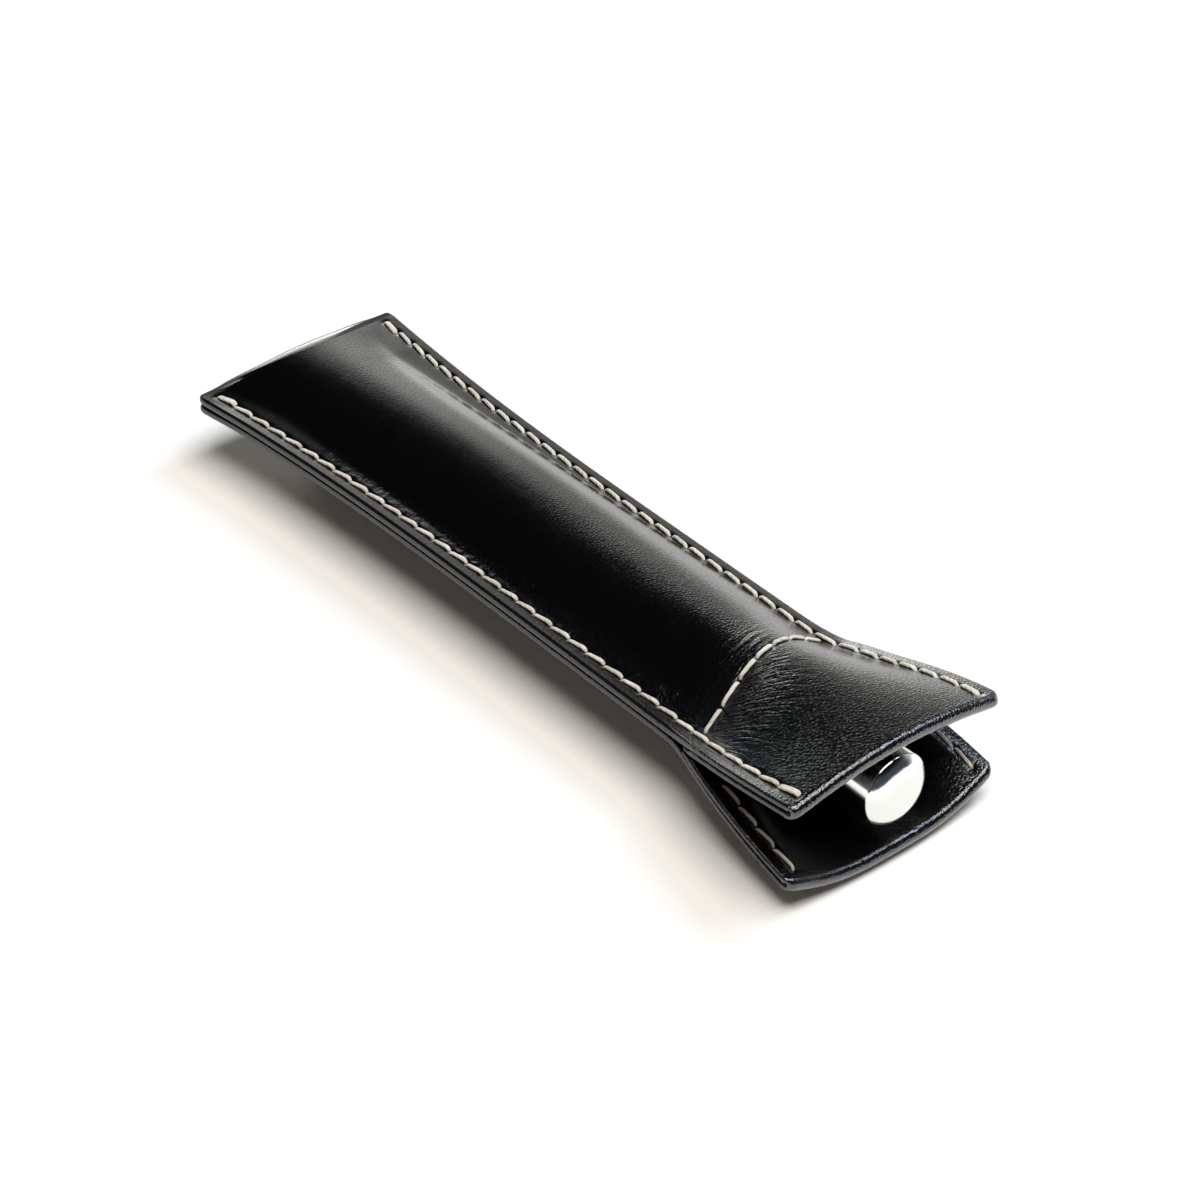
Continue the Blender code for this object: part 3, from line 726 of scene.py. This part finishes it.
def doubled(starts, ends, picks, offset):
    # a second pass of thread over the picked stitches, laid beside the first
    extra = np.array([0.0, offset])
    return np.concatenate([starts, starts[picks] + extra]), np.concatenate([ends, ends[picks] + extra])


def makeStitches(name, starts, ends, side, nodes, inside=False, ride=None):
    points, faces, uv = stitchTubes(starts, ends, side, inside)
    piece = makePiece(name, points, faces, threadFinish, uv=uv)
    if ride:
        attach(piece, ride)
    else:
        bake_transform(piece)
    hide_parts(*nodes)


for side, label in ((0, "Upper"), (1, "Lower")):
    flapBody = label.lower() + "_flap"
    for sign, seam in ((-1, "near"), (1, "far")):
        slant = stitching["slant"][seam]
        starts, ends = sideHoles(holePlaces[seam], sign, slant)
        starts, ends = doubled(starts, ends, [0, len(starts) - 1], -sign * stitching["secondPass"])
        nodes = (seam + "_side_" + label.lower() + "_thread", flapBody + "_" + seam + "_outer_thread")
        makeStitches(seam + label + "Seam", starts, ends, side, nodes)
        inner = holePlaces[seam][holePlaces[seam] > sleeve["bend"] + stitching["innerStart"]]
        starts, ends = sideHoles(inner, sign, slant)
        nodes = (flapBody + "_" + seam + "_inner_thread",)
        makeStitches(seam + label + "InnerSeam", starts, ends, side, nodes, True, flapBody)
    y = np.linspace(*stitching["crossEnds"], stitching["crossHoles"])
    x = crossSeamPlace(y)
    starts = np.stack([x[:-1], y[:-1] + stitching["crossGap"]], -1)
    ends = np.stack([x[1:], y[1:] - stitching["crossGap"]], -1)
    nodes = (label.lower() + "_cross_thread",)
    makeStitches("cross" + label + "Seam", starts, ends, side, nodes, ride="sleeve")
print("stitches laid")


# Pen
pen = {
    "length": 0.1393, "radius": 0.0063, "tilt": 0.0355, "mouth": (0.1561, 0.0129), "capLength": 0.0580,
    "endRound": 0.0026, "dome": 0.00160, "domeCurve": 4.2, "rim": 0.0006, "chamfer": 0.00015,
    "wall": 0.0011, "floor": 0.0060, "capWall": 0.0008, "capFloor": 0.0040, "seam": 0.0004, "gap": 0.0003,
    "gripRoot": 0.0120, "gripWall": 0.0017, "grooves": (0.010, 0.007, 0.004), "grooveHalf": (0.0004, 0.0001),
    "grooveDepth": 0.00025, "tipLength": 0.0100, "tipRadius": 0.0014,
    "noseRadius": 0.0006, "point": 0.0020, "pointShare": 0.8, "pointRadius": 0.0003,
    "linerWall": 0.0007, "linerLength": 0.0200, "linerGap": 0.0041,
    "around": 160, "longest": 0.003, "domePoints": 40,
}


def arc(centre, radius, start, end, count):
    # points (r, h) of a circle's arc, angles in degrees from the r axis
    a = np.radians(np.linspace(start, end, count))
    return [(centre[0] + radius * math.cos(v), centre[1] + radius * math.sin(v)) for v in a]


def densify(profile, step):  # the same line with points no further apart than the step
    line = [profile[0]]
    for start, end in zip(profile, profile[1:]):
        count = max(int(math.dist(start, end) / step), 1)
        line += [(blend(start[0], end[0], i / count), blend(start[1], end[1], i / count))
                 for i in range(1, count + 1)]
    return line


def makeTurned(name, profile, finish, body, node):
    # profile (r, h) turned about the pen's axis: point = back end + h · axis + r (cos a · Y + sin a · up)
    line = np.array(densify(profile, pen["longest"]))
    closed = line[0, 0] > 0
    tilt = pen["tilt"]
    axis = np.array([math.cos(tilt), 0, math.sin(tilt)])
    up = np.array([-math.sin(tilt), 0, math.cos(tilt)])
    across = np.array([0.0, 1.0, 0.0])
    mouth = np.array([pen["mouth"][0] - sleeve["length"] / 2, 0, pen["mouth"][1]])
    back = mouth - axis * pen["length"]
    a = np.linspace(0, 2 * np.pi, pen["around"], endpoint=False)
    ring = across * np.cos(a)[:, None] + up * np.sin(a)[:, None]
    rings = line if closed else line[1:-1]
    points = back + rings[:, None, 1:] * axis + rings[:, None, :1] * ring[None]
    rows, around = points.shape[:2]
    r, c = np.meshgrid(np.arange(rows if closed else rows - 1), np.arange(around), indexing="ij")
    n, m = (c + 1) % around, (r + 1) % rows
    quads = np.stack([r * around + c, r * around + n, m * around + n, m * around + c], -1).reshape(-1, 4)
    # distance along the profile in millimetres, which keeps the rings round on an end face too
    place = np.concatenate([[0], np.cumsum(np.linalg.norm(np.diff(line, axis=0), axis=1))]) * 1000
    faces, points = [quads], points.reshape(-1, 3)
    turn = np.repeat(place if closed else place[1:-1], around)
    if not closed:
        poles = back + line[[0, -1], 1:] * axis
        first, last = len(points), len(points) + 1
        points = np.concatenate([points, poles])
        turn = np.append(turn, [place[0], place[-1]])
        k = np.arange(around)
        top = np.stack([np.full(around, first), (k + 1) % around, k], -1)
        end = (rows - 1) * around
        bottom = np.stack([np.full(around, last), end + k, end + (k + 1) % around], -1)
        faces.append(np.concatenate([top, bottom]))
    piece = makePiece(name, points, faces, finish, {"turnPlace": turn}, sharpCaps=35)
    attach(piece, body)
    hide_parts(node)


def makePen():
    radius, length, cut = pen["radius"], pen["length"], pen["chamfer"]
    capStart = length - pen["capLength"]
    front = capStart - pen["seam"]
    bore = radius - pen["wall"]

    # cap: h = length - dome · s^curve, which ends at half a right angle and rolls over a small rim
    rim = pen["rim"]
    face = radius - rim + rim * math.sin(np.pi / 4)
    shares = np.linspace(1 / 25, 1, pen["domePoints"])
    cap = [(0, length)] + [(face * s, length - pen["dome"] * s ** pen["domeCurve"]) for s in shares]
    cap += arc((radius - rim, length - pen["dome"] - rim * math.cos(np.pi / 4)), rim, 45, 0, 9)[1:]
    capBore = radius - pen["capWall"]
    inside = length - pen["capFloor"]
    cap += [(radius, capStart + cut), (radius - cut, capStart), (capBore, capStart), (capBore, inside),
            (0, inside)]
    makeTurned("penCap", cap, polishedFinish, "cap", "pen_cap")

    barrel = [(0, 0)] + arc((radius - pen["endRound"], pen["endRound"]), pen["endRound"], -90, 0, 13)
    barrel += [(radius, front - cut), (radius - cut, front), (bore, front), (bore, pen["floor"]),
               (0, pen["floor"])]
    makeTurned("penBarrel", barrel, polishedFinish, "pen", "pen_barrel")

    # grip: slim neck with three turned grooves, and a cone to the tip
    gripRadius = bore - pen["gap"]
    gripBore = gripRadius - pen["gripWall"]
    linerTop = pen["capLength"] - pen["capFloor"] - pen["gap"]
    gripTop = front + pen["seam"] + linerTop - pen["linerLength"] - pen["linerGap"]
    tipEnd = gripTop + pen["tipLength"]
    brink, bottom = pen["grooveHalf"]
    deep = gripRadius - pen["grooveDepth"]
    grip = [(gripRadius, front - pen["gripRoot"])]
    for below in pen["grooves"]:
        h = gripTop - below
        grip += [(gripRadius, h - brink), (deep, h - bottom), (deep, h + bottom), (gripRadius, h + brink)]
    grip += [(gripRadius, gripTop), (pen["tipRadius"], tipEnd), (pen["noseRadius"] + pen["gap"], tipEnd),
             (gripBore, gripTop), (gripBore, front - pen["gripRoot"])]
    makeTurned("penGrip", grip + grip[:1], satinFinish, "pen", "pen_grip")

    refillStart, refillRadius, nose = pen["floor"] + pen["gap"], gripBore - pen["gap"], pen["noseRadius"]
    noseStart = gripTop - pen["gap"]
    refill = [(0, refillStart), (refillRadius, refillStart), (refillRadius, noseStart), (nose, noseStart),
              (nose, tipEnd), (pen["pointRadius"], tipEnd + pen["point"] * pen["pointShare"]),
              (0, tipEnd + pen["point"])]
    makeTurned("penRefill", refill, satinFinish, "pen", "pen_refill")

    outer = capBore - pen["gap"]
    inner = outer - pen["linerWall"]
    low, high = capStart + linerTop - pen["linerLength"], capStart + linerTop
    ceiling = high - pen["linerWall"]
    liner = [(0, high), (outer, high), (outer, low), (inner, low), (inner, ceiling), (0, ceiling)]
    makeTurned("capLiner", liner, plasticFinish, "cap", "cap_liner")
    print("pen turned")


makePen()


# Floor, light and camera
studio = {
    "floorSize": 3.0, "floorColour": "#fcfcfb", "floorRoughness": 0.9, "floorLift": 0.02,
    "backdropSeen": (0.12, 0.55), "backdropInGloss": (0.06, 0.30),
    "target": (0.00595, 0.0, 0.0092), "distance": 0.6028, "azimuth": 49.26, "elevation": 37.19, "roll": 0.87,
    "lens": 109.8, "sensor": 36.0, "shift": (0.0022, -0.0057),
}
# name: direction from the sleeve, distance, size, watts and colour
lamps = {
    "keyBox": ((0.24, -0.04, 0.97), 1.2, (0.9, 0.7), 14.3, "#fffaf3"),
    "backBox": ((0.14, 0.54, 0.83), 1.2, (0.45, 0.36), 4.5, "#d6e6ff"),
}
# heights and places are parts of the unit direction; each pair goes from the first value to the second
room = {
    "ceiling": (0.37, 0.62), "wallSide": (-0.42, 0.91, 0.0), "wallEdge": (0.40, 0.80),
    "wallHeight": (0.02, 0.20), "wallStrength": (1.8, 0.80),
    "windowEdge": (-0.64, -0.80), "windowStrength": (0.9, 4.8), "farEdge": (-0.86, -0.96), "farStrength": 0.15,
    "strength": 0.11, "warm": "#ffd6aa", "cool": "#b8c8de", "wall": "#f8fbf4",
}


def makeFloor():
    # smooth white paper, a little brighter to the camera, so that it reads as white outside the shadow.
    # Away from the object the camera, gloss and glass see it go over into the white backdrop:
    # lift · camera + ease(distance) · (camera or glass) + ease(nearer distance) · gloss
    half = studio["floorSize"]
    points = [(-half, -half, 0), (half, -half, 0), (half, half, 0), (-half, half, 0)]
    mesh = bpy.data.meshes.new("floor")
    mesh.from_pydata(points, [], [(0, 1, 2, 3)])
    finish, add, shader = newFinish("whitePaper")
    path = add("LightPath").outputs
    place = add("TexCoord").outputs["Object"]
    away = add("VectorMath", {"operation": "LENGTH"}, links={0: place})
    far, nearer = (add("MapRange", eased, {"From Min": start, "From Max": end}, {"Value": away})
                   for start, end in (studio["backdropSeen"], studio["backdropInGloss"]))
    seen = add("Math", {"operation": "MAXIMUM"},
               links={0: path["Is Camera Ray"], 1: path["Is Transmission Ray"]})
    seen = add("Math", times, links={0: seen, 1: far})
    seen = add("Math", timesPlus, links={0: path["Is Glossy Ray"], 1: nearer, 2: seen})
    seen = add("Math", timesPlus, {1: studio["floorLift"]}, {0: path["Is Camera Ray"], 2: seen})
    setInputs(shader, {"Base Color": hexColour(studio["floorColour"]), "Roughness": studio["floorRoughness"],
                       "Specular IOR Level": 0.0, "Emission Color": hexColour("#ffffff")},
              {"Emission Strength": seen})
    mesh.materials.append(finish)
    floor = addObject("floor", mesh)


def makeLamp(name, direction, distance, size, watts, colour):
    # rectangular soft box that faces the middle of the sleeve
    light = bpy.data.lights.new(name, "AREA")
    light.shape = "RECTANGLE"
    light.size, light.size_y = size
    light.energy = watts
    light.color = hexColour(colour)[:3]
    lamp = addObject(name, light)
    towards = np.array(direction, float) / np.linalg.norm(direction)
    lamp.location = towards * distance
    lamp.rotation_euler = Vector(towards).to_track_quat("Z", "Y").to_euler()


def makeWorld():
    # a white wall low down behind the far side, with a window on its left, a dim room to the right of it
    # and a dark ceiling: fade(height) · (room, or band(height) · window(left) · far edge where it is the
    # wall). The room is bluish in the gloss and warm in the shadows, and the camera sees white
    world = bpy.data.worlds.new("studio")
    bpy.context.scene.world = world
    world.use_nodes = True
    add = partial(addNode, world.node_tree)
    direction = add("TexCoord").outputs["Generated"]
    split = add("SeparateXYZ", links={0: direction})
    towards = add("VectorMath", {"operation": "DOT_PRODUCT"}, {1: room["wallSide"]}, {0: direction})
    fade, share, band, window, farEdge = (
        add("MapRange", eased, {"From Min": start, "From Max": end, "To Min": first, "To Max": last},
            {"Value": place})
        for (start, end), (first, last), place in (
            (room["ceiling"], (1.0, 0.0), split.outputs["Z"]),
            (room["wallEdge"], (0.0, 1.0), towards),
            (room["wallHeight"], room["wallStrength"], split.outputs["Z"]),
            (room["windowEdge"], room["windowStrength"], split.outputs["X"]),
            (room["farEdge"], (1.0, room["farStrength"]), split.outputs["X"])))
    wall = fade
    for factor in (band, window, farEdge):
        wall = add("Math", times, links={0: wall, 1: factor})
    dim = add("Math", times, {1: room["strength"]}, {0: fade})
    strength = add("Mix", numbers, links={0: share, 2: dim, 3: wall})
    path = add("LightPath").outputs
    tint = add("Mix", colours, {6: hexColour(room["warm"]), 7: hexColour(room["cool"])},
               {0: path["Is Glossy Ray"]})
    tint = add("Mix", colours, {7: hexColour(room["wall"])}, {0: share, 6: tint})
    strength = add("Mix", numbers, {3: 1.0}, {0: path["Is Camera Ray"], 2: strength})
    tint = add("Mix", colours, {7: hexColour("#ffffff")}, {0: path["Is Camera Ray"], 6: tint})
    setInputs(world.node_tree.nodes["Background"], {}, {"Strength": strength, "Color": tint})


def makeCamera():
    # back = (sin a cos e, -cos a cos e, sin e), rolled about itself
    a, e, r = (math.radians(studio[k]) for k in ("azimuth", "elevation", "roll"))
    back = Vector((math.sin(a) * math.cos(e), -math.cos(a) * math.cos(e), math.sin(e)))
    right = Vector((math.cos(a), math.sin(a), 0))
    up = back.cross(right)
    rolledRight = right * math.cos(r) + up * math.sin(r)
    rolledUp = up * math.cos(r) - right * math.sin(r)
    lens = bpy.data.cameras.new("camera")
    lens.lens, lens.sensor_width = studio["lens"], studio["sensor"]
    lens.shift_x, lens.shift_y = studio["shift"]
    lens.clip_start, lens.clip_end = 0.01, 20
    camera = addObject("camera", lens)
    turn = Matrix((rolledRight, rolledUp, back)).transposed()
    place = Vector(studio["target"]) + back * studio["distance"]
    camera.matrix_world = Matrix.Translation(place) @ turn.to_4x4()
    bpy.context.scene.camera = camera


makeFloor()
makeWorld()
makeCamera()
for name, values in lamps.items():
    makeLamp(name, *values)
bpy.context.scene.view_settings.view_transform = "Standard"
print("studio set")
